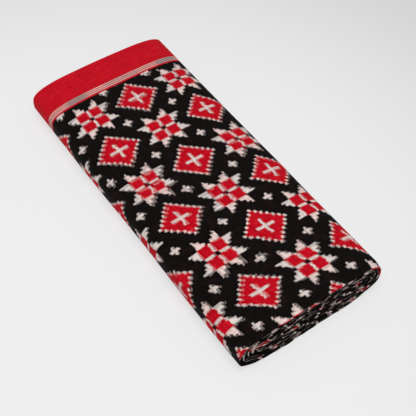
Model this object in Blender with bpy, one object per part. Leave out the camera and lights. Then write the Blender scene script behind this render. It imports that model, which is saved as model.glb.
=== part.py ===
"""A length of double ikat cotton, doubled along its middle and wound flat into a long bundle.

+X runs across the bundle and +Y along it, from the cloth's centre fold to its two red borders. +Z is up. The
origin is the middle of the footprint, on the surface that the bundle lies on. All sizes are in metres.
"""

import math

import bmesh
import bpy

# The bundle
LENGTH = 0.5625  # half of the cloth's woven width, because the cloth is doubled
WIDTH = 0.243  # across the level layers
HEIGHT = 0.0565  # from the surface to the top layer

# The doubled cloth, with the air that its soft yarns hold
PLY = 0.0015  # one of the two thicknesses
PLY_GAP = 0.0006  # between the two
LAYER = 2 * PLY + PLY_GAP
PITCH = 0.0047  # from one doubled layer to the next, so they lie a little apart

# The winding. Its angle is 0 at the right side, 90 underneath, 180 at the left side and 270 on top.
START = 28.0  # the cloth's outer end, low on the right side
END = 5 * 360 + 300.0  # its inner end, in the sixth turn
TUCK_AT = 345.0  # each turn tucks in under the one outside it about this angle
TUCK_SPREAD = 42.0  # and within this angle of it
QUARTER = (0, 12, 24, 36, 49, 63, 76)  # angles of the points in each quarter turn
FLAT_FROM = 63.0  # underneath, the layers are level past this angle

# The section: its widest level as a share of the height, and how square its sides are
WIDEST_OUTSIDE = 0.44
WIDEST_INSIDE = 0.50
SQUARE_OUTSIDE = 3.5
SQUARE_INSIDE = 6.5
LOOSE_LEFT = 0.45  # extra room between the turns at the left side, as a share of the pitch
LOOSE_RIGHT = 0.16
RIGHT_LAP = 0.0036  # how much further the right side stands out, where the outer end laps it

# How the bundle varies along its length. Columns: place from the fold (0) to the borders (1), then how far the
# left side, the right side and the top stand out beyond the plain section.
SECTIONS = (
    (0.00, -0.0006, 0.0004, -0.0006),
    (0.20, 0.0001, -0.0006, 0.0004),
    (0.45, -0.0010, 0.0005, -0.0010),
    (0.70, 0.0001, -0.0004, 0.0006),
    (1.00, -0.0008, 0.0006, -0.0002),
)

# How the layers' ends lie, from the outside in, underneath and on top in turn. Columns: how far the fold is set
# back from the near end, and how far the borders stop short of the far end.
LAYER_ENDS = (
    (0.0000, 0.0010),
    (0.0063, 0.0000),
    (0.0018, 0.0026),
    (0.0052, 0.0014),
    (0.0006, 0.0018),
    (0.0060, 0.0030),
    (0.0026, 0.0008),
    (0.0040, 0.0034),
    (0.0014, 0.0022),
    (0.0050, 0.0016),
    (0.0034, 0.0038),
    (0.0030, 0.0028),
)
BACK_LEFT = 0.0030  # how much further back the folds lie round the left side

# Places of the points along each layer, as shares of its length from the fold
FACE_PLACES = (0.0, 0.08, 0.2, 0.33, 0.45, 0.57, 0.7, 0.85, 1.0)
INSIDE_PLACES = (0.0, 0.33, 0.7, 1.0)
FOLD_ANGLES = (45.0, 0.0, -45.0)  # points round the fold, between the outer and the inner face
SHARP_FROM = 50.0  # edges that bend more than this are shaded as edges

COTTON_BLACK = (0.012, 0.010, 0.010, 1.0)
COTTON_ROUGHNESS = 0.9


def ease(share):
    """A smooth step from 0 to 1."""
    share = min(max(share, 0.0), 1.0)
    return share * share * (3 - 2 * share)


def from_table(rows, place, column):
    """The column's value at a place, eased between the rows; the first column holds the places."""
    for before, after in zip(rows, rows[1:]):
        if place <= after[0]:
            share = ease((place - before[0]) / (after[0] - before[0]))
            return before[column] + share * (after[column] - before[column])
    return rows[-1][column]


def turns_in(angle):
    """How many turns lie outside the cloth at this angle of the winding."""
    turns, past = divmod(angle - TUCK_AT + 180.0, 360.0)
    return turns + ease((past - 180.0 + TUCK_SPREAD) / (2 * TUCK_SPREAD))


def section_point(angle, out, along):
    """X and Z on the winding, out metres outside the middle of the doubled layer, at a place along the bundle."""
    inset = LAYER / 2 + PITCH * turns_in(angle)
    depth = inset / (HEIGHT / 2)
    square = SQUARE_OUTSIDE + depth**2 * (SQUARE_INSIDE - SQUARE_OUTSIDE)
    widest = HEIGHT * (WIDEST_OUTSIDE + depth * (WIDEST_INSIDE - WIDEST_OUTSIDE))
    across, level = math.cos(math.radians(angle)), -math.sin(math.radians(angle))
    loose, lap, side = (LOOSE_RIGHT, RIGHT_LAP, 2) if across > 0 else (LOOSE_LEFT, 0.0, 1)
    inset_across = LAYER / 2 + (inset - LAYER / 2) * (1 + loose)
    half_width = WIDTH / 2 + lap + from_table(SECTIONS, along, side) - inset_across + out
    x = math.copysign(half_width * abs(across) ** (2 / square), across)
    if level > 0:
        rise = HEIGHT + from_table(SECTIONS, along, 3) * (1 - depth) - widest - inset + out
        return x, widest + rise * level ** (2 / square)
    fall = widest - inset + out
    flat = math.sin(math.radians(FLAT_FROM))
    return x, widest - fall * min(1.0, -level / flat) ** (2 / square)


def layer_ends(angle):
    """Y of the fold's tip and of the borders at this angle of the winding."""
    rows = [(90.0 + 180.0 * n, *row) for n, row in enumerate(LAYER_ENDS)]
    level = max(angle, rows[0][0])
    back = from_table(rows, level, 1) + BACK_LEFT * max(-math.cos(math.radians(angle)), 0.0) ** 2
    return -LENGTH / 2 + back, LENGTH / 2 - from_table(rows, level, 2)


def layer_outline(angle):
    """Y and the distance outwards, round the doubled layer's cut: a hairpin, open at the borders."""
    tip, border = layer_ends(angle)
    radius = LAYER / 2
    face = [tip + radius + place * (border - tip - radius) for place in FACE_PLACES]
    inside = [tip + PLY + place * (border - tip - PLY) for place in INSIDE_PLACES]
    bends = [math.radians(bend) for bend in FOLD_ANGLES]
    return (
        [(y, radius) for y in reversed(face)]
        + [(tip + radius - radius * math.cos(bend), radius * math.sin(bend)) for bend in bends]
        + [(y, -radius) for y in face]
        + [(y, -PLY_GAP / 2) for y in reversed(inside)]
        + [(y, PLY_GAP / 2) for y in inside]
    )


def winding_angles():
    """The angles of the winding's points, closer together round the sides than on the level runs."""
    half_turn = [*QUARTER, 90, *(180 - a for a in reversed(QUARTER[1:]))]
    angles = [start + a for start in range(0, math.ceil(END), 180) for a in half_turn]
    return [START] + [a for a in angles if START < a < END] + [END]


def cloth_mesh():
    """The doubled cloth's cut, carried along the winding and closed at its two ends."""
    bm = bmesh.new()
    rings = []
    for angle in winding_angles():
        ring = []
        for y, out in layer_outline(angle):
            x, z = section_point(angle, out, y / LENGTH + 0.5)
            ring.append(bm.verts.new((x, y, z)))
        rings.append(ring)
    for here, there in zip(rings, rings[1:]):
        for n in range(len(here)):
            bm.faces.new((here[n - 1], here[n], there[n], there[n - 1]))
    bm.faces.new(rings[0])
    bm.faces.new(rings[-1])
    bmesh.ops.recalc_face_normals(bm, faces=bm.faces)
    mesh = bpy.data.meshes.new("folded_cloth")
    bm.to_mesh(mesh)
    bm.free()
    mesh.shade_smooth()
    mesh.set_sharp_from_angle(angle=math.radians(SHARP_FROM))
    return mesh


def cotton():
    material = bpy.data.materials.new("ikat_cotton")
    material.use_nodes = True
    shader = material.node_tree.nodes["Principled BSDF"]
    shader.inputs["Base Color"].default_value = COTTON_BLACK
    shader.inputs["Roughness"].default_value = COTTON_ROUGHNESS
    shader.inputs["Metallic"].default_value = 0.0
    return material


def main():
    for old in list(bpy.data.objects):
        bpy.data.objects.remove(old, do_unlink=True)
    cloth = bpy.data.objects.new("folded_cloth", cloth_mesh())
    cloth.data.materials.append(cotton())
    bpy.context.scene.collection.objects.link(cloth)


main()
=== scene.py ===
"""Looks for a length of double ikat cotton, doubled along its middle and wound flat into a long bundle.

The cloth is one thin sheet on the folds of the CAD solid. Its motifs are charted in the cloth's own
coordinates, across and along the weave, so that they turn with it round every fold. Sizes are in metres.
"""

import math

import bpy
from mathutils import Matrix, Vector, noise


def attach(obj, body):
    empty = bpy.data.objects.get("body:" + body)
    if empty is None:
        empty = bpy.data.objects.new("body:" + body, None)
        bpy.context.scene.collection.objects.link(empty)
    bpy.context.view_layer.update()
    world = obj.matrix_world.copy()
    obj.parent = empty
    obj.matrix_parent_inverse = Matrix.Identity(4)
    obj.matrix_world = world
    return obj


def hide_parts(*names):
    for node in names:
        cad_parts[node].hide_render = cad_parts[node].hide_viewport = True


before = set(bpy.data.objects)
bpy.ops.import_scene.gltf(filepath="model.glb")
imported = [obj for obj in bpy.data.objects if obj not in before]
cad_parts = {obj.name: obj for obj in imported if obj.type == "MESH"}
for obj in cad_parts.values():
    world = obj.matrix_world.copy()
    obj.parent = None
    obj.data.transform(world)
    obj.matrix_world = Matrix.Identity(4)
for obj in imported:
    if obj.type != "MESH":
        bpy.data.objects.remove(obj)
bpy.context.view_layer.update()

# The bundle and its winding, as in the CAD. The winding's angle is 0 at the right side, 90 underneath,
# 180 at the left side and 270 on top.
LENGTH = 0.5625
WIDTH = 0.243
HEIGHT = 0.0565
LAYER = 0.0036  # the doubled cloth
PITCH = 0.0047  # from one doubled layer to the next
START = 28.0
END = 5 * 360 + 300.0
ON_TOP = 270.0
TUCK_AT = 345.0  # each turn tucks in under the one outside it about this angle
TUCK_SPREAD = 42.0
FLAT_FROM = 63.0  # underneath, the layers are level past this angle
WIDEST_OUTSIDE = 0.44
WIDEST_INSIDE = 0.50
SQUARE_OUTSIDE = 3.5
SQUARE_INSIDE = 6.5
LOOSE_LEFT = 0.45
LOOSE_RIGHT = 0.16
RIGHT_LAP = 0.0036

# How the bundle varies along its length. Columns: place from the fold (0) to the borders (1), then how far
# the left side, the right side and the top stand out beyond the plain section.
SECTIONS = (
    (0.00, -0.0006, 0.0004, -0.0006),
    (0.20, 0.0001, -0.0006, 0.0004),
    (0.45, -0.0010, 0.0005, -0.0010),
    (0.70, 0.0001, -0.0004, 0.0006),
    (1.00, -0.0008, 0.0006, -0.0002),
)

# How the layers' ends lie, from the outside in, underneath and on top in turn, within a millimetre of the
# CAD. Columns: how far the fold is set back from the near end, and how far the borders stop short of the
# far end.
LAYER_ENDS = (
    (0.0000, 0.0010),
    (0.0063, 0.0000),
    (0.0008, 0.0026),
    (0.0056, 0.0014),
    (0.0010, 0.0018),
    (0.0053, 0.0030),
    (0.0020, 0.0008),
    (0.0045, 0.0034),
    (0.0022, 0.0022),
    (0.0042, 0.0016),
    (0.0030, 0.0038),
    (0.0035, 0.0028),
)
BACK_LEFT = 0.0030  # how much further back the folds lie round the left side

# The sheet
THICK = 0.0006
OUTER_TURN = 396.0  # the angle up to which the cloth is the bundle's outside
STEP_OUTER = 0.0034  # from one row of points to the next, along the winding
STEP_INNER = 0.0080
BEND_STEP = 13.0  # degrees that the cloth turns from one row to the next at most
FINE = 400  # points in each quarter turn of the table from which the rows' angles are read
FINE_CLOSER = 1.75  # how much closer together these are at both ends of a quarter turn
FACE_STEPS = 46  # points along the outer thickness
BACK_STEPS = 22  # points along the inner thickness and inside the fold
FACE_CLOSER, BACK_CLOSER = 1.4, 1.8  # how much closer together they are near the fold
BENDS = (72, 54, 36, 18, 0, -18, -36, -54, -72)  # angles of the points round the fold
INSIDE_BENDS = (50, 0, -50)
PINCH = 0.43  # the share of the layer's thickness that is left at the pressed fold
PRESSED = LAYER / 2 * (1 - PINCH)  # how far each side of the layer is pressed in there
PINCH_LENGTH = 0.014  # and how far from the fold this reaches
INNER_SHORT = 0.0008  # how far the inner thickness's border stops short of the outer one's
SHARP_FROM = 50.0  # edges that bend more than this are shaded as edges

# Soft unevenness: the most that it moves the cloth, and its waves per metre
SAG, SAG_ACROSS, SAG_ALONG = 0.0007, 9.0, 6.0
BULGE_ALONG, BULGE_UP = 12.0, 20.0  # of the two sides, which bulge as much as the top sags
RIPPLE, RIPPLE_ROUND, RIPPLE_ALONG = 0.00025, 14.0, 26.0
TIP_UNEVEN, TIP_RISE, TIP_ROUND = 0.0009, 0.0010, 26.0
TIP_BACK = 0.6  # the share of its unevenness by which the fold lies further back
TIP_CRIMP, CRIMP_ROUND = 0.0008, 75.0  # shorter waves in the folds
OUT_EDGE_UNEVEN, IN_EDGE_UNEVEN = 0.0004, 0.0008  # of the borders
FREE_CORNER = 0.007  # how far back the fold lies at the cloth's outer end
FREE_TURN = 50.0

# Where each unevenness is read in the noise, so that no two are alike
SAG_AT, RIPPLE_AT, BULGE_AT, BULGE_APART = 3.7, 8.1, 1.3, 2.0
TIP_AT, TIP_CRIMP_AT, RISE_AT, RISE_CRIMP_AT = 5.5, 17.5, 12.5, 21.5
OUT_EDGE_AT, IN_EDGE_AT, WANDER_AT = 1.5, 9.5, 31.5

# The pattern: its unit across the weave, and where its rows and columns lie
UNIT = 0.080
ROW = 0.979 * UNIT
FIRST_ROW = 2.316 * UNIT  # from the outer edge to the middle of the first row
BOW = (0.141, 0.176, 0.163, 0.003)  # the columns' place on top, and how they bow along the bundle
BOW_MIDDLE, BOW_SPAN = 1.5, 3.0  # in rows

# Which row of the pattern lies at the fold. Columns: units along the cloth from the middle of the top, and
# the row. On top these are the rows that the fold cuts. Further in, the folds wander along the ends of the
# next motifs.
FOLD_ROWS = (
    (-5.00, 4.57),
    (-3.30, 4.57),
    (-2.60, 4.53),
    (-2.10, 4.60),
    (-1.43, 4.72),
    (-0.43, 4.785),
    (0.57, 4.735),
    (1.57, 4.785),
    (2.40, 4.62),
    (3.20, 4.57),
    (4.30, 4.56),
    (4.92, 4.52),
    (5.50, 4.66),
    (6.50, 4.67),
    (7.60, 4.66),
    (8.40, 4.59),
    (10.7, 4.59),
    (11.2, 4.78),
    (11.7, 4.60),
    (16.4, 4.58),
    (16.9, 4.52),
    (17.5, 4.59),
    (21.6, 4.58),
    (22.3, 4.77),
    (23.0, 4.60),
    (26.2, 4.59),
    (27.2, 4.70),
    (28.0, 4.60),
)
WANDER, WANDER_ROUND = 0.07, 2.4  # how far that row wanders, in rows, and its waves to a unit
WANDER_FROM = 2.0  # where along the cloth this begins, in units from the middle of the top
SLIP_FROM = 0.55  # the rows slip to meet it from this share of the way from the border to the fold

# Where the weave runs unevenly. Columns: place across and along the pattern, how far the rows slip towards
# the fold there, and within what distance.
ROW_SLIPS = (
    (-0.85, 3.85, 0.050, 0.72),
    (0.50, 1.90, -0.024, 0.65),
    (-1.50, 1.90, -0.022, 0.65),
)
FOLD_SHEEN_REACH = 0.006  # how far from the folds the half-dyed threads and their painted sheen reach
FOLD_FROM, FOLD_FULL = 1.9, 2.4  # where along the cloth they begin, in units from the middle of the top


def ease(share):
    """A smooth step from 0 to 1."""
    share = min(max(share, 0.0), 1.0)
    return share * share * (3 - 2 * share)


def from_table(rows, place, column):
    """The column's value at a place, eased between the rows; the first column holds the places."""
    for before, after in zip(rows, rows[1:]):
        if place <= after[0]:
            share = ease((place - before[0]) / (after[0] - before[0]))
            return before[column] + share * (after[column] - before[column])
    return rows[-1][column]


def turns_in(angle):
    """How many turns lie outside the cloth at this angle of the winding."""
    turns, past = divmod(angle - TUCK_AT + 180.0, 360.0)
    return turns + ease((past - 180.0 + TUCK_SPREAD) / (2 * TUCK_SPREAD))


def section_point(angle, out, along):
    """X and Z on the winding, out metres outside the layer's middle, at a place along the bundle."""
    inset = LAYER / 2 + PITCH * turns_in(angle)
    depth = inset / (HEIGHT / 2)
    square = SQUARE_OUTSIDE + depth**2 * (SQUARE_INSIDE - SQUARE_OUTSIDE)
    widest = HEIGHT * (WIDEST_OUTSIDE + depth * (WIDEST_INSIDE - WIDEST_OUTSIDE))
    across, level = math.cos(math.radians(angle)), -math.sin(math.radians(angle))
    loose, lap, side = (LOOSE_RIGHT, RIGHT_LAP, 2) if across > 0 else (LOOSE_LEFT, 0.0, 1)
    inset_across = LAYER / 2 + (inset - LAYER / 2) * (1 + loose)
    half_width = WIDTH / 2 + lap + from_table(SECTIONS, along, side) - inset_across + out
    x = math.copysign(half_width * abs(across) ** (2 / square), across)
    if level > 0:
        rise = HEIGHT + from_table(SECTIONS, along, 3) * (1 - depth) - widest - inset + out
        return x, widest + rise * level ** (2 / square)
    fall = widest - inset + out
    flat = math.sin(math.radians(FLAT_FROM))
    return x, widest - fall * min(1.0, -level / flat) ** (2 / square)


def layer_ends(angle):
    """Y of the fold's tip and of the borders at this angle of the winding."""
    rows = [(90.0 + 180.0 * n, *row) for n, row in enumerate(LAYER_ENDS)]
    level = max(angle, rows[0][0])
    back = from_table(rows, level, 1) + BACK_LEFT * max(-math.cos(math.radians(angle)), 0.0) ** 2
    return -LENGTH / 2 + back, LENGTH / 2 - from_table(rows, level, 2)


def winding_table():
    """Angles close together along the whole winding, most of all where a small turn goes far."""
    table = []
    for quarter in range(0, math.ceil(END), 90):
        for n in range(FINE):
            share, rest = (n / FINE) ** FINE_CLOSER, (1 - n / FINE) ** FINE_CLOSER
            turned = 90 * share / (share + rest)
            if START < quarter + turned < END:
                table.append(quarter + turned)
    return [START, *table, END]


def winding_rows():
    """(angle, metres along the cloth from the middle of the top) of each row of points."""
    table = winding_table()
    points = [Vector(section_point(angle, LAYER / 2, 0.5)) for angle in table]
    lengths, spent, heading = [0.0], [0.0], None
    for angle, here, there in zip(table, points, points[1:]):
        way = there - here
        turned = 0.0 if heading is None else abs(math.degrees(way.angle_signed(heading)))
        heading = way
        step = STEP_OUTER if angle < OUTER_TURN else STEP_INNER
        lengths.append(lengths[-1] + way.length)
        spent.append(spent[-1] + max(way.length / step, turned / BEND_STEP))
    rows, wanted, count = [], 0.0, math.ceil(spent[-1])
    for before, angle, s_before, s_here, d_before, d_here in zip(
        table, table[1:], spent, spent[1:], lengths, lengths[1:]
    ):
        while wanted <= s_here and len(rows) <= count:
            share = (wanted - s_before) / (s_here - s_before)
            rows.append((before + share * (angle - before), d_before + share * (d_here - d_before)))
            wanted += spent[-1] / count
    if rows[-1][0] < END - 1e-6:
        rows.append((END, lengths[-1]))
    on_top = min(range(len(table)), key=lambda n: abs(table[n] - ON_TOP))
    return [(angle, along - lengths[on_top]) for angle, along in rows]


def waves(along, rate, place):
    """Uneven waves along the cloth, from about -1 to 1, read at a place of their own in the noise."""
    return noise.noise(Vector((along * rate, place, 0.0)))


def uneven(x, y, z, arc):
    """The point moved by the soft unevenness. The layers move together, so none cuts through the next."""
    raised = ease(z / HEIGHT)
    sag = SAG * noise.noise(Vector((x * SAG_ACROSS, y * SAG_ALONG, SAG_AT)))
    own = RIPPLE * noise.noise(Vector((arc * RIPPLE_ROUND, y * RIPPLE_ALONG, RIPPLE_AT)))
    side_at = BULGE_AT + math.copysign(BULGE_APART, x)
    bulge = SAG * noise.noise(Vector((y * BULGE_ALONG, z * BULGE_UP, side_at)))
    side = abs(x / (WIDTH / 2)) ** 3
    return x + math.copysign(bulge * side, x), y, z + raised * (sag + own)


def doubled_cut(centre, rise, out_edge, in_edge):
    """The points round the doubled cloth's cut, and the cloth's whole width.

    Each point is y, the distance outwards, and how far across the width it lies from the outer edge. They
    run over the cloth's outside from border to border, and back within it. The fold turns about y of
    centre, and stands rise outside the layer's middle.
    """
    radius = LAYER / 2
    half_turn = (radius - PRESSED) * math.pi
    to_fold = LENGTH / 2 - centre

    def surface(r, steps, closer, bends):
        """The outer thickness, the fold and the inner thickness, at r from the layer's middle."""
        points = []
        for n in range(steps, -1, -1):
            y = centre + (n / steps) ** closer * (out_edge - centre)
            near = 1 - ease((y - centre) / PINCH_LENGTH)
            points.append((y, r + (rise - PRESSED) * near, LENGTH / 2 - y))
        for bend in bends:
            away = (r - PRESSED) * math.cos(math.radians(bend))
            up = (r - PRESSED) * math.sin(math.radians(bend))
            points.append((centre - away, rise + up, to_fold + half_turn * (0.5 - bend / 180)))
        for n in range(BACK_STEPS + 1):
            y = centre + (n / BACK_STEPS) ** BACK_CLOSER * (in_edge - centre)
            near = 1 - ease((y - centre) / PINCH_LENGTH)
            points.append((y, (rise + PRESSED) * near - r, to_fold + half_turn + y - centre))
        return points

    outside = surface(radius, FACE_STEPS, FACE_CLOSER, BENDS)
    inside = surface(radius - THICK, BACK_STEPS, BACK_CLOSER, INSIDE_BENDS)
    return outside + inside[::-1], 2 * to_fold + half_turn


def pattern_place(arc, width, drift):
    """Units across and rows along the pattern, at a place along the cloth and across its width."""
    j = (width - FIRST_ROW) / ROW - drift * ease((width / LENGTH - SLIP_FROM) / (1 - SLIP_FROM))
    g = (j - BOW_MIDDLE) / BOW_SPAN
    i = arc / UNIT - (BOW[0] + BOW[1] * g + BOW[2] * g**2 + BOW[3] * g**3)
    slipped = sum(
        slip * math.exp(-((i - at_i) ** 2 + (j - at_j) ** 2) / reach**2)
        for at_i, at_j, slip, reach in ROW_SLIPS
    )
    return i, j - slipped


def cloth_row(angle, arc):
    """One row round the doubled cloth's cut: its points, their places in the pattern, and at the fold.

    A place in the pattern is units across, rows along, and rows from the first on the nearer border's side.
    A place at the fold is how much of the half-dyed threads and painted sheen shows, and units from the
    fold's line.
    """
    tip, border = layer_ends(angle)
    tip += TIP_UNEVEN * (waves(arc, TIP_ROUND, TIP_AT) + TIP_BACK)
    tip += FREE_CORNER * (1 - ease((angle - START) / FREE_TURN)) ** 2
    tip += TIP_CRIMP * waves(arc, CRIMP_ROUND, TIP_CRIMP_AT)
    rise = TIP_RISE * waves(arc, TIP_ROUND, RISE_AT)
    rise += TIP_CRIMP * waves(arc, CRIMP_ROUND, RISE_CRIMP_AT)
    out_edge = border + OUT_EDGE_UNEVEN * waves(arc, TIP_ROUND, OUT_EDGE_AT)
    in_edge = border - INNER_SHORT + IN_EDGE_UNEVEN * waves(arc, TIP_ROUND, IN_EDGE_AT)
    centre = tip + LAYER / 2 - PRESSED
    row, whole = doubled_cut(centre, rise, out_edge, in_edge)

    units = arc / UNIT
    wander = WANDER * waves(units, WANDER_ROUND, WANDER_AT) * ease(units - WANDER_FROM)
    drift = (whole / 2 - FIRST_ROW) / ROW - from_table(FOLD_ROWS, units, 1) - wander
    inner = ease((abs(units) - FOLD_FROM) / (FOLD_FULL - FOLD_FROM))
    points, pattern, at_fold = [], [], []
    for y, out, width in row:
        x, z = section_point(angle, out, y / LENGTH + 0.5)
        points.append(uneven(x, y, z, arc))
        edge = (min(width, whole - width) - FIRST_ROW) / ROW
        pattern.append((*pattern_place(arc, width, drift), edge))
        # Pale threads near the fold's nose: partly half-dyed threads, partly painted sheen that parts each
        # layer from the next
        shows = inner * (1 - ease((y - centre) / FOLD_SHEEN_REACH))
        at_fold.append((shows, (width - whole / 2) / UNIT, 0.0))
    return points, pattern, at_fold


def end_strip(base, outside, inside, first):
    """Closes the sheet's cut end between its outer points and its fewer inner ones."""
    ratio = (outside - 1) / (len(inside) - 1)
    faces, at = [], 0
    for n in range(outside - 1):
        a, b = base + n, base + n + 1
        c = base + inside[at]
        if at + 1 < len(inside) and (n + 1) / ratio >= at + 1 - 1e-9:
            d = base + inside[at + 1]
            face = (a, c, d, b)
            at += 1
        else:
            face = (a, c, b)
        faces.append(face if first else face[::-1])
    return faces


def cloth():
    """The sheet: each row of points joined to the next, and closed at the cloth's two cut ends."""
    rows = [cloth_row(angle, arc) for angle, arc in winding_rows()]
    points, pattern, at_fold = ([place for row in part for place in row] for part in zip(*rows))
    count = len(rows[0][0])
    last = (len(rows) - 1) * count
    faces = []
    for a in range(0, last, count):
        b = a + count
        faces += [(a + n, a + (n + 1) % count, b + (n + 1) % count, b + n) for n in range(count)]
    outside = FACE_STEPS + 1 + len(BENDS) + BACK_STEPS + 1
    inside = list(range(outside, count))[::-1]
    for base in (0, last):
        faces += end_strip(base, outside, inside, base == 0)
    mesh = bpy.data.meshes.new("ikat_cloth")
    mesh.from_pydata(points, [], faces)
    mesh.validate()
    for name, places in (("pattern", pattern), ("at_fold", at_fold)):
        kept = mesh.attributes.new(name, "FLOAT_VECTOR", "POINT")
        kept.data.foreach_set("vector", [c for place in places for c in place])
    mesh.shade_smooth()
    mesh.set_sharp_from_angle(angle=math.radians(SHARP_FROM))
    obj = bpy.data.objects.new("ikat_cloth", mesh)
    bpy.context.scene.collection.objects.link(obj)
    return obj


# The colours, as linear values
BLACK = (0.0036, 0.0030, 0.0028)
BROWN = (0.0150, 0.0066, 0.0072)
RED = (0.530, 0.0042, 0.0145)
RED_DEEP = (0.430, 0.0016, 0.0090)
RED_PALE = (0.620, 0.0150, 0.0240)
CREAM = (0.655, 0.585, 0.553)
CREAM_PINK = (0.735, 0.572, 0.534)
LINE_PALE = (0.780, 0.470, 0.420)
LINE_GREY = (0.480, 0.350, 0.330)
LINE_RED = (0.360, 0.018, 0.024)
LINE_DARK = (0.170, 0.070, 0.070)
# Pale threads at the inner folds: partly half-dyed threads, partly painted sheen on the folds' noses
HALF_DYED_AND_SHEEN = (0.640, 0.530, 0.500)

# The chart of the motifs. Widths and reaches are in its steps.
CHART = 14  # steps to one unit
SQUARES = 3.5  # how far the stars' red squares reach, and the wings' steps from them
WINGS = 6.5  # how far the wings reach
STEPS_RED, STEPS_RIM = 5.5, 6.5  # how far the diamonds' red steps and the dots of their rims reach
BAR, PLUS, CROSS = 0.40, 0.42, 0.41  # half widths of the stars' bars and of the two kinds of cross
PLUS_REACH, CROSS_REACH = 2.6, 1.28
STAR_MIDDLE = 0.70  # half width of the stars' dark middle
WING_TRIM = 0.20  # how much slimmer the stars' wings are than their steps
DOT = 0.41  # half width of the dots along the diamonds' rims

# The border: where its fine lines and the ground start, in rows from the first
LINES_FROM, LINES_TO, GROUND_FROM = -1.705, -1.560, -1.524
LINES = 3
BETWEEN_LINES = (0.15, 0.85)  # the heights of the wave between them at which its red sets in and is full
LINE_WAVER, WAVER_ROUND = 0.012, 14.0  # how unevenly the lines run, and how quickly
PATCH_AT, PATCH_EVERY = 1.01, 2.06  # where the lines are greyer, in units
PATCH_HALF, PATCH_FADED = 0.15, 0.29  # how far these patches reach
FAINT_FROM, FAINT_FULL, FAINT = 0.60, 0.72, 0.35  # and how grey the lines are far from them

# The weave. What the dye does is counted in steps of the chart.
THREAD = 0.0009  # from one thread to the next
THREADS = 5  # tied threads that slip on their own, to a step
LINE_PITCH = 0.0021  # of the lines where one set of threads lies over the other
CREEP = 0.10 / CHART
WEFT_SHOWS, WEFT_VARIES = 0.25, 0.14  # how much of the weft shows between the warp
LINE_BENDS = 9.0  # how far the streaks bend these lines
SETS_APART = (0.34 / CHART, 0.40 / CHART)  # how far the weft's dyed places lie from the warp's
SLOW_WEFT, SLOW_WARP, GROUP_SLIP, THREAD_SLIP = (steps / CHART for steps in (2.4, 2.0, 1.2, 0.40))

# How quickly the slips, streaks and spots change, to a unit of the pattern
SLOW_LONG, SLOW_SHORT = 0.5, 0.9
GROUP_LONG, WEFT_GROUP_APART, WARP_GROUP_APART = 0.8, 7.31, 5.17
STREAK_LONG, STREAK_SHORT = 2.5, 44.0
HALF_DYED_SHEEN_LONG, HALF_DYED_SHEEN_SHORT = 3.2, 72.0
BLOTCH, SPECKLE, PINKER = 5.5, 48.0, 1.3

# The heights in the noise at which they are read, so that no two are alike
SLOW_WEFT_AT, WEFT_GROUP_AT, SLOW_WARP_AT, WARP_GROUP_AT = 1.0, 2.0, 3.0, 4.0
STREAK_WEFT_AT, HALF_DYED_SHEEN_AT = 7.0, 9.0

# Between which values of the noise a colour sets in, and how much of it there is at most
BROWN_BLOTCHES = (0.48, 0.72, 0.6)
BROWN_SPECKLES = (0.50, 0.80, 1.0)
BRIGHT_STREAKS = (0.30, 0.70, 1.0)
PALE_BLOTCHES = (0.55, 0.75, 0.7)
PINK_BLOTCHES = (0.40, 0.60, 0.2)
HALF_DYED_SHEEN_THREADS = (0.60, 0.66, 0.85)
BORDER_STREAKS = (0.40, 0.80, 0.4)
BORDER_BLOTCHES = (0.40, 0.70, 0.3)

# The stars' pinker wings: how many steps from the middle they start, how many steps more along the cloth
# than across it bring out the whole of their pink, and how much of it there is
WING_FROM, WING_FULL, WING_PINKER = 3.0, 0.8, 0.8

# How much the streaks and the speckles count in the cloth's shade, and the streaks in its relief
SHADE_WARP, SHADE_WEFT, SHADE_SPECKLE = 0.85, 0.60, 0.55
RELIEF_STREAKS = 1.5


class Value:
    """A number that the material works out at each point. Its sums make the nodes."""

    def __init__(self, tree, source):
        self.tree, self.source = tree, source

    def math(self, operation, *others):
        node = self.tree.nodes.new("ShaderNodeMath")
        node.operation = operation
        for n, value in enumerate((self, *others)):
            if isinstance(value, Value):
                self.tree.links.new(value.source, node.inputs[n])
            else:
                node.inputs[n].default_value = value
        return Value(self.tree, node.outputs[0])

    def __add__(self, other):
        return self.math("ADD", other)

    def __sub__(self, other):
        return self.math("SUBTRACT", other)

    def __mul__(self, other):
        return self.math("MULTIPLY", other)

    def over(self, limit):
        return self.math("GREATER_THAN", limit)

    def under(self, limit):
        return self.math("LESS_THAN", limit)

    def opposite(self):
        return (self * -1.0) + 1.0

    def size(self):
        return self.math("ABSOLUTE")

    def whole(self):
        """The nearest whole number."""
        return self.math("ROUND")

    def either(self, other):
        return self.math("MAXIMUM", other)

    def smooth(self, low, high):
        """0 below low, 1 above high and a smooth step between."""
        node = self.tree.nodes.new("ShaderNodeMapRange")
        node.interpolation_type = "SMOOTHSTEP"
        self.tree.links.new(self.source, node.inputs["Value"])
        node.inputs["From Min"].default_value, node.inputs["From Max"].default_value = low, high
        return Value(self.tree, node.outputs["Result"])

    def sets_in(self, low, high, most):
        """0 below low, most above high and a smooth step between."""
        return self.smooth(low, high) * most

    def random(self):
        """A random number from 0 to 1 for each whole number."""
        node = self.tree.nodes.new("ShaderNodeTexWhiteNoise")
        node.noise_dimensions = "1D"
        self.tree.links.new(self.source, node.inputs["W"])
        return Value(self.tree, node.outputs["Value"])


def vector(tree, x, y, z=0.0):
    node = tree.nodes.new("ShaderNodeCombineXYZ")
    for n, value in enumerate((x, y, z)):
        if isinstance(value, Value):
            tree.links.new(value.source, node.inputs[n])
        else:
            node.inputs[n].default_value = value
    return node.outputs[0]


def noise_at(tree, place, scale=1.0, detail=2.0, rough=0.5):
    node = tree.nodes.new("ShaderNodeTexNoise")
    tree.links.new(place, node.inputs["Vector"])
    node.inputs["Scale"].default_value = scale
    node.inputs["Detail"].default_value = detail
    node.inputs["Roughness"].default_value = rough
    return Value(tree, node.outputs["Fac"])


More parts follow.
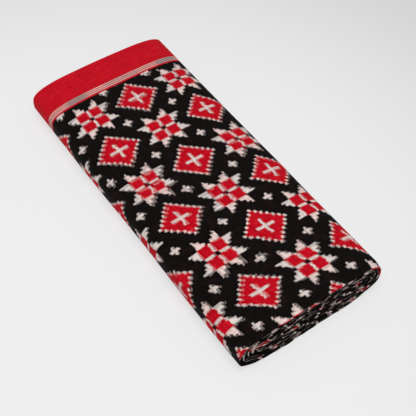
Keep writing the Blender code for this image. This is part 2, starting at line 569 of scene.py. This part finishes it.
def attribute(tree, name):
    """The three numbers of an attribute of the cloth's points."""
    node, split = tree.nodes.new("ShaderNodeAttribute"), tree.nodes.new("ShaderNodeSeparateXYZ")
    node.attribute_name = name
    tree.links.new(node.outputs["Vector"], split.inputs[0])
    return [Value(tree, socket) for socket in split.outputs]


def colour_mix(tree, share, low, high, blend="MIX"):
    node = tree.nodes.new("ShaderNodeMix")
    node.data_type, node.blend_type = "RGBA", blend
    sockets = {s.identifier: s for s in node.inputs}
    for socket, value in (("Factor_Float", share), ("A_Color", low), ("B_Color", high)):
        if isinstance(value, Value):
            tree.links.new(value.source, sockets[socket])
        elif isinstance(value, bpy.types.NodeSocket):
            tree.links.new(value, sockets[socket])
        elif isinstance(value, tuple):
            sockets[socket].default_value = (*value, 1.0)
        else:
            sockets[socket].default_value = value
    return next(s for s in node.outputs if s.identifier == "Result_Color")


def motif_chart():
    """The repeat: stars and toothed diamonds by turns, with a small cross between every four."""
    tree = bpy.data.node_groups.new("motif_chart", "ShaderNodeTree")
    for name in ("across", "along"):
        tree.interface.new_socket(name, in_out="INPUT", socket_type="NodeSocketFloat")
    for name in ("red", "white"):
        tree.interface.new_socket(name, in_out="OUTPUT", socket_type="NodeSocketFloat")
    given, wanted = tree.nodes.new("NodeGroupInput"), tree.nodes.new("NodeGroupOutput")
    across, along = Value(tree, given.outputs[0]), Value(tree, given.outputs[1])
    column, row = across.whole(), along.whole()
    diamond = (column + row).math("FLOORED_MODULO", 2.0).over(0.5)
    star = diamond.opposite()

    # How far from the motif's middle, in steps and in whole steps
    a, b = ((across - column) * CHART).size(), ((along - row) * CHART).size()
    near, far = a.math("MINIMUM", b), a.either(b)
    step_a, step_b = a.whole(), b.whole()
    high, both = step_a.either(step_b), step_a + step_b

    # The star: red squares parted by pale bars, and pale wings
    square = near.over(BAR) * high.under(SQUARES)
    bar = near.under(BAR) * far.over(STAR_MIDDLE) * high.under(SQUARES)
    low = (near - WING_TRIM).whole()
    wing = high.over(SQUARES) * far.under(WINGS - WING_TRIM) * near.under(SQUARES - WING_TRIM)
    wing = wing * (high - low).under(SQUARES)

    # The diamond: red steps with a rim of pale dots, and a pale cross
    plus = near.under(PLUS) * far.under(PLUS_REACH)
    off_step = (a - step_a).size().either((b - step_b).size())
    rim = both.over(STEPS_RED) * both.under(STEPS_RIM) * off_step.under(DOT)
    between_dots = both.under(STEPS_RIM) * (a + b).under((STEPS_RED + STEPS_RIM) / 2)
    stepped = both.under(STEPS_RED).either(between_dots).either(rim)

    # The small cross where four motifs meet
    cross = far.over(CHART / 2 - CROSS) * near.over(CHART / 2 - CROSS_REACH)

    white = (star * bar.either(wing)).either(diamond * plus.either(stepped * rim)).either(cross)
    red = (star * square).either(diamond * stepped * rim.opposite() * plus.opposite())
    tree.links.new(red.source, wanted.inputs[0])
    tree.links.new(white.source, wanted.inputs[1])
    return tree


def dyed(tree, chart, across, along, way, ground, red, white):
    """The colour of one set of threads. The dye creeps under both ends of each tie, along the given way."""
    ends = []
    for creep in (-CREEP, CREEP):
        node = tree.nodes.new("ShaderNodeGroup")
        node.node_tree = chart
        tree.links.new((across + creep * way[0]).source, node.inputs[0])
        tree.links.new((along + creep * way[1]).source, node.inputs[1])
        ends.append([Value(tree, socket) for socket in node.outputs])
    (red_a, white_a), (red_b, white_b) = ends
    tied_white = white_a.math("MINIMUM", white_b)
    return colour_mix(tree, tied_white, colour_mix(tree, red_a.either(red_b), ground, red), white)


def thread_slip(tree, slow_at, group_at, place, far):
    """How far one set of threads lies out of step: slowly over the cloth, by tied groups and by threads."""
    slow = noise_at(tree, slow_at, detail=1.0) - 0.5
    group = noise_at(tree, group_at, detail=1.0) - 0.5
    thread = (place * (CHART * THREADS)).whole().random() - 0.5
    return slow * far + group * GROUP_SLIP + thread * THREAD_SLIP


def border_colours(tree, i, edge, plain):
    """Whether the border lies here, and its colour: plain red, then fine lines and a narrow red strip."""
    waver = noise_at(tree, vector(tree, i * WAVER_ROUND, 0.0)) - 0.5
    edge = edge + waver * LINE_WAVER
    lined = edge.over(LINES_FROM) * edge.under(LINES_TO)
    wave = ((edge - LINES_FROM) * (LINES * 2 * math.pi / (LINES_TO - LINES_FROM))).math("COSINE")
    between = (wave * 0.5 + 0.5).smooth(*BETWEEN_LINES)
    from_patch = (i + PATCH_AT).math("WRAP", PATCH_EVERY / 2, -PATCH_EVERY / 2).size()
    patch = from_patch.smooth(PATCH_HALF, PATCH_FADED).opposite()
    grey = patch.either(from_patch.smooth(FAINT_FROM, FAINT_FULL) * FAINT)
    lines = colour_mix(tree, grey, LINE_PALE, LINE_GREY)
    lines = colour_mix(tree, between, lines, colour_mix(tree, grey, LINE_RED, LINE_DARK))
    return edge.under(GROUND_FROM), colour_mix(tree, lined, plain, lines)


def ikat():
    """Double ikat: the chart is dyed on warp and weft apart, and both show in the plain weave."""
    material = bpy.data.materials.new("ikat_cotton_woven")
    material.use_nodes = True
    tree = material.node_tree
    shader = tree.nodes["Principled BSDF"]
    i, j, edge = attribute(tree, "pattern")
    flat = vector(tree, i, j)

    # Uneven dye
    blotch = noise_at(tree, flat, BLOTCH, 3.0, 0.6)
    speckle = noise_at(tree, flat, SPECKLE, 1.0)
    streak_warp = noise_at(tree, vector(tree, i * STREAK_LONG, j * STREAK_SHORT))
    streak_weft = noise_at(tree, vector(tree, i * STREAK_SHORT, j * STREAK_LONG, STREAK_WEFT_AT))
    browner = blotch.sets_in(*BROWN_BLOTCHES) + speckle.sets_in(*BROWN_SPECKLES)
    ground = colour_mix(tree, browner, BLACK, BROWN)
    red = colour_mix(tree, streak_weft.sets_in(*BRIGHT_STREAKS), RED_DEEP, RED)
    red = colour_mix(tree, blotch.sets_in(*PALE_BLOTCHES), red, RED_PALE)

    # The stars' wings that point along the cloth are pinker than those that point across it
    far_across = ((i - i.whole()) * CHART).size()
    far_along = ((j - j.whole()) * CHART).size()
    pinker = far_along.over(WING_FROM) * (far_along - far_across).smooth(0.0, WING_FULL)
    pinker = pinker * WING_PINKER + noise_at(tree, flat, PINKER, 1.0).sets_in(*PINK_BLOTCHES)
    white = colour_mix(tree, pinker, CREAM, CREAM_PINK)

    # The two sets of threads lie a little out of step
    slow = vector(tree, i * SLOW_SHORT, j * SLOW_LONG, SLOW_WEFT_AT)
    group = vector(tree, (i * CHART).whole() * WEFT_GROUP_APART, j * GROUP_LONG, WEFT_GROUP_AT)
    slip_weft = thread_slip(tree, slow, group, i, SLOW_WEFT)
    slow = vector(tree, i * SLOW_LONG, j * SLOW_SHORT, SLOW_WARP_AT)
    group = vector(tree, i * GROUP_LONG, (j * CHART).whole() * WARP_GROUP_APART, WARP_GROUP_AT)
    slip_warp = thread_slip(tree, slow, group, j, SLOW_WARP)

    # Both sets, woven together
    chart = motif_chart()
    apart_i, apart_j = SETS_APART
    warp = dyed(tree, chart, i + slip_warp, j, (1, 0), ground, red, white)
    weft = dyed(tree, chart, i - apart_i, j + slip_weft - apart_j, (0, 1), ground, red, white)
    over = (j * (2 * math.pi * ROW / LINE_PITCH) + streak_warp * LINE_BENDS).math("SINE")
    colour = colour_mix(tree, over * WEFT_VARIES + WEFT_SHOWS, warp, weft)

    # Half-dyed threads along the inner folds, partly painted sheen that makes each fold's nose read pale
    # against the next
    shows, from_fold, _ = attribute(tree, "at_fold")
    threads = noise_at(tree, vector(tree, i * HALF_DYED_SHEEN_LONG, from_fold * HALF_DYED_SHEEN_SHORT, HALF_DYED_SHEEN_AT))
    colour = colour_mix(tree, shows * threads.sets_in(*HALF_DYED_SHEEN_THREADS), colour, HALF_DYED_AND_SHEEN)

    # The borders
    plain = colour_mix(tree, streak_weft.sets_in(*BORDER_STREAKS), RED, RED_DEEP)
    plain = colour_mix(tree, blotch.sets_in(*BORDER_BLOTCHES), plain, RED_PALE)
    in_border, border = border_colours(tree, i, edge, plain)
    colour = colour_mix(tree, in_border, colour, border)

    # Darker and paler lines where the threads lie closer or wider
    lines = streak_warp * SHADE_WARP + streak_weft * SHADE_WEFT + speckle * SHADE_SPECKLE
    shade = tree.nodes.new("ShaderNodeCombineColor")
    for socket in shade.inputs:
        tree.links.new(lines.source, socket)
    colour = colour_mix(tree, 1.0, colour, shade.outputs[0], "MULTIPLY")
    tree.links.new(colour, shader.inputs["Base Color"])

    # Plain weave
    wave_i, wave_j = i * (2 * math.pi * UNIT / THREAD), j * (2 * math.pi * ROW / THREAD)
    weave = wave_i.math("SINE") * wave_j.math("SINE")
    relief = weave + streak_warp * RELIEF_STREAKS + streak_weft * RELIEF_STREAKS
    bump = tree.nodes.new("ShaderNodeBump")
    bump.inputs["Strength"].default_value = 0.25
    bump.inputs["Distance"].default_value = 0.0002
    tree.links.new(relief.source, bump.inputs["Height"])
    tree.links.new(bump.outputs[0], shader.inputs["Normal"])
    shader.inputs["Roughness"].default_value = 0.88
    shader.inputs["Specular IOR Level"].default_value = 0.03
    shader.inputs["Sheen Weight"].default_value = 0.018
    shader.inputs["Sheen Roughness"].default_value = 0.55
    return material


# The studio. The ground glows a little, so that the bundle's shadow is as faint as in the photo.
FLOOR_HALF = 4.0
FLOOR_COLOUR = (0.24, 0.24, 0.245, 1.0)
WHITE = (1.0, 1.0, 1.0, 1.0)
GLOW_MIDDLE = (-0.25, -0.05, 0.0)
GLOW, GLOW_LOST = 0.615, 0.25  # its strength about that middle, and how much of it is lost far away
GLOW_FULL, GLOW_LEAST = 0.35, 1.15  # the distances between which it is lost
SKY = 0.48
SOFTBOX_AT, SOFTBOX_SIZE, SOFTBOX_POWER = (-0.25, -0.3, 2.0), 1.6, 25.0

# The photo's camera: its turn, how far it is raised and its roll in degrees, what it looks at and from how
# far in metres, and its focal length and picture in pixels of the photo
TURN, RAISED, ROLL = -35.874, 52.583, 1.009
LOOKS_AT, REACH = (0.00048, -0.03336, 0.0), 1.24696
FOCAL, PHOTO_WIDTH = 834.24, 416.0
SENSOR = 36.0


def floor():
    """A pale ground, a little brighter before the bundle than far behind it."""
    mesh = bpy.data.meshes.new("floor")
    corners = [(-1, -1), (1, -1), (1, 1), (-1, 1)]
    mesh.from_pydata([(x * FLOOR_HALF, y * FLOOR_HALF, 0.0) for x, y in corners], [], [(0, 1, 2, 3)])
    obj = bpy.data.objects.new("floor", mesh)
    material = bpy.data.materials.new("pale_floor")
    material.use_nodes = True
    tree = material.node_tree
    shader = tree.nodes["Principled BSDF"]
    where, away = tree.nodes.new("ShaderNodeNewGeometry"), tree.nodes.new("ShaderNodeVectorMath")
    away.operation = "DISTANCE"
    away.inputs[1].default_value = GLOW_MIDDLE
    tree.links.new(where.outputs["Position"], away.inputs[0])
    glow = Value(tree, away.outputs["Value"]).smooth(GLOW_FULL, GLOW_LEAST) * -GLOW_LOST + GLOW
    tree.links.new(glow.source, shader.inputs["Emission Strength"])
    shader.inputs["Base Color"].default_value = FLOOR_COLOUR
    shader.inputs["Emission Color"].default_value = WHITE
    shader.inputs["Roughness"].default_value = 0.9
    shader.inputs["Specular IOR Level"].default_value = 0.1
    mesh.materials.append(material)
    bpy.context.scene.collection.objects.link(obj)


def lighting():
    """Soft light from all round, with a large softbox above."""
    world = bpy.data.worlds.new("studio")
    bpy.context.scene.world = world
    world.use_nodes = True
    world.node_tree.nodes["Background"].inputs["Color"].default_value = WHITE
    world.node_tree.nodes["Background"].inputs["Strength"].default_value = SKY
    light = bpy.data.lights.new("softbox", "AREA")
    light.shape, light.size, light.energy = "DISK", SOFTBOX_SIZE, SOFTBOX_POWER
    obj = bpy.data.objects.new("softbox", light)
    obj.location = SOFTBOX_AT
    obj.rotation_mode = "QUATERNION"
    obj.rotation_quaternion = (-Vector(SOFTBOX_AT)).to_track_quat("-Z", "Y")
    bpy.context.scene.collection.objects.link(obj)
    bpy.context.scene.view_settings.view_transform = "Standard"


def camera():
    """A camera that looks as the photo's did."""
    turn, raised, roll = (math.radians(angle) for angle in (TURN, RAISED, ROLL))
    back = Vector((math.sin(turn) * math.cos(raised), -math.cos(turn) * math.cos(raised), math.sin(raised)))
    right = Vector((math.cos(turn), math.sin(turn), 0.0))
    up = back.cross(right)
    right, up = math.cos(roll) * right + math.sin(roll) * up, math.cos(roll) * up - math.sin(roll) * right
    data = bpy.data.cameras.new("camera")
    data.sensor_width = SENSOR
    data.lens = FOCAL / PHOTO_WIDTH * SENSOR
    obj = bpy.data.objects.new("camera", data)
    turned = Matrix((right, up, back)).transposed().to_4x4()
    obj.matrix_world = Matrix.Translation(Vector(LOOKS_AT) + REACH * back) @ turned
    bpy.context.scene.collection.objects.link(obj)
    bpy.context.scene.camera = obj


piece = cloth()
piece.data.materials.append(ikat())
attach(piece, "root")
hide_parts("folded_cloth")
floor()
lighting()
camera()
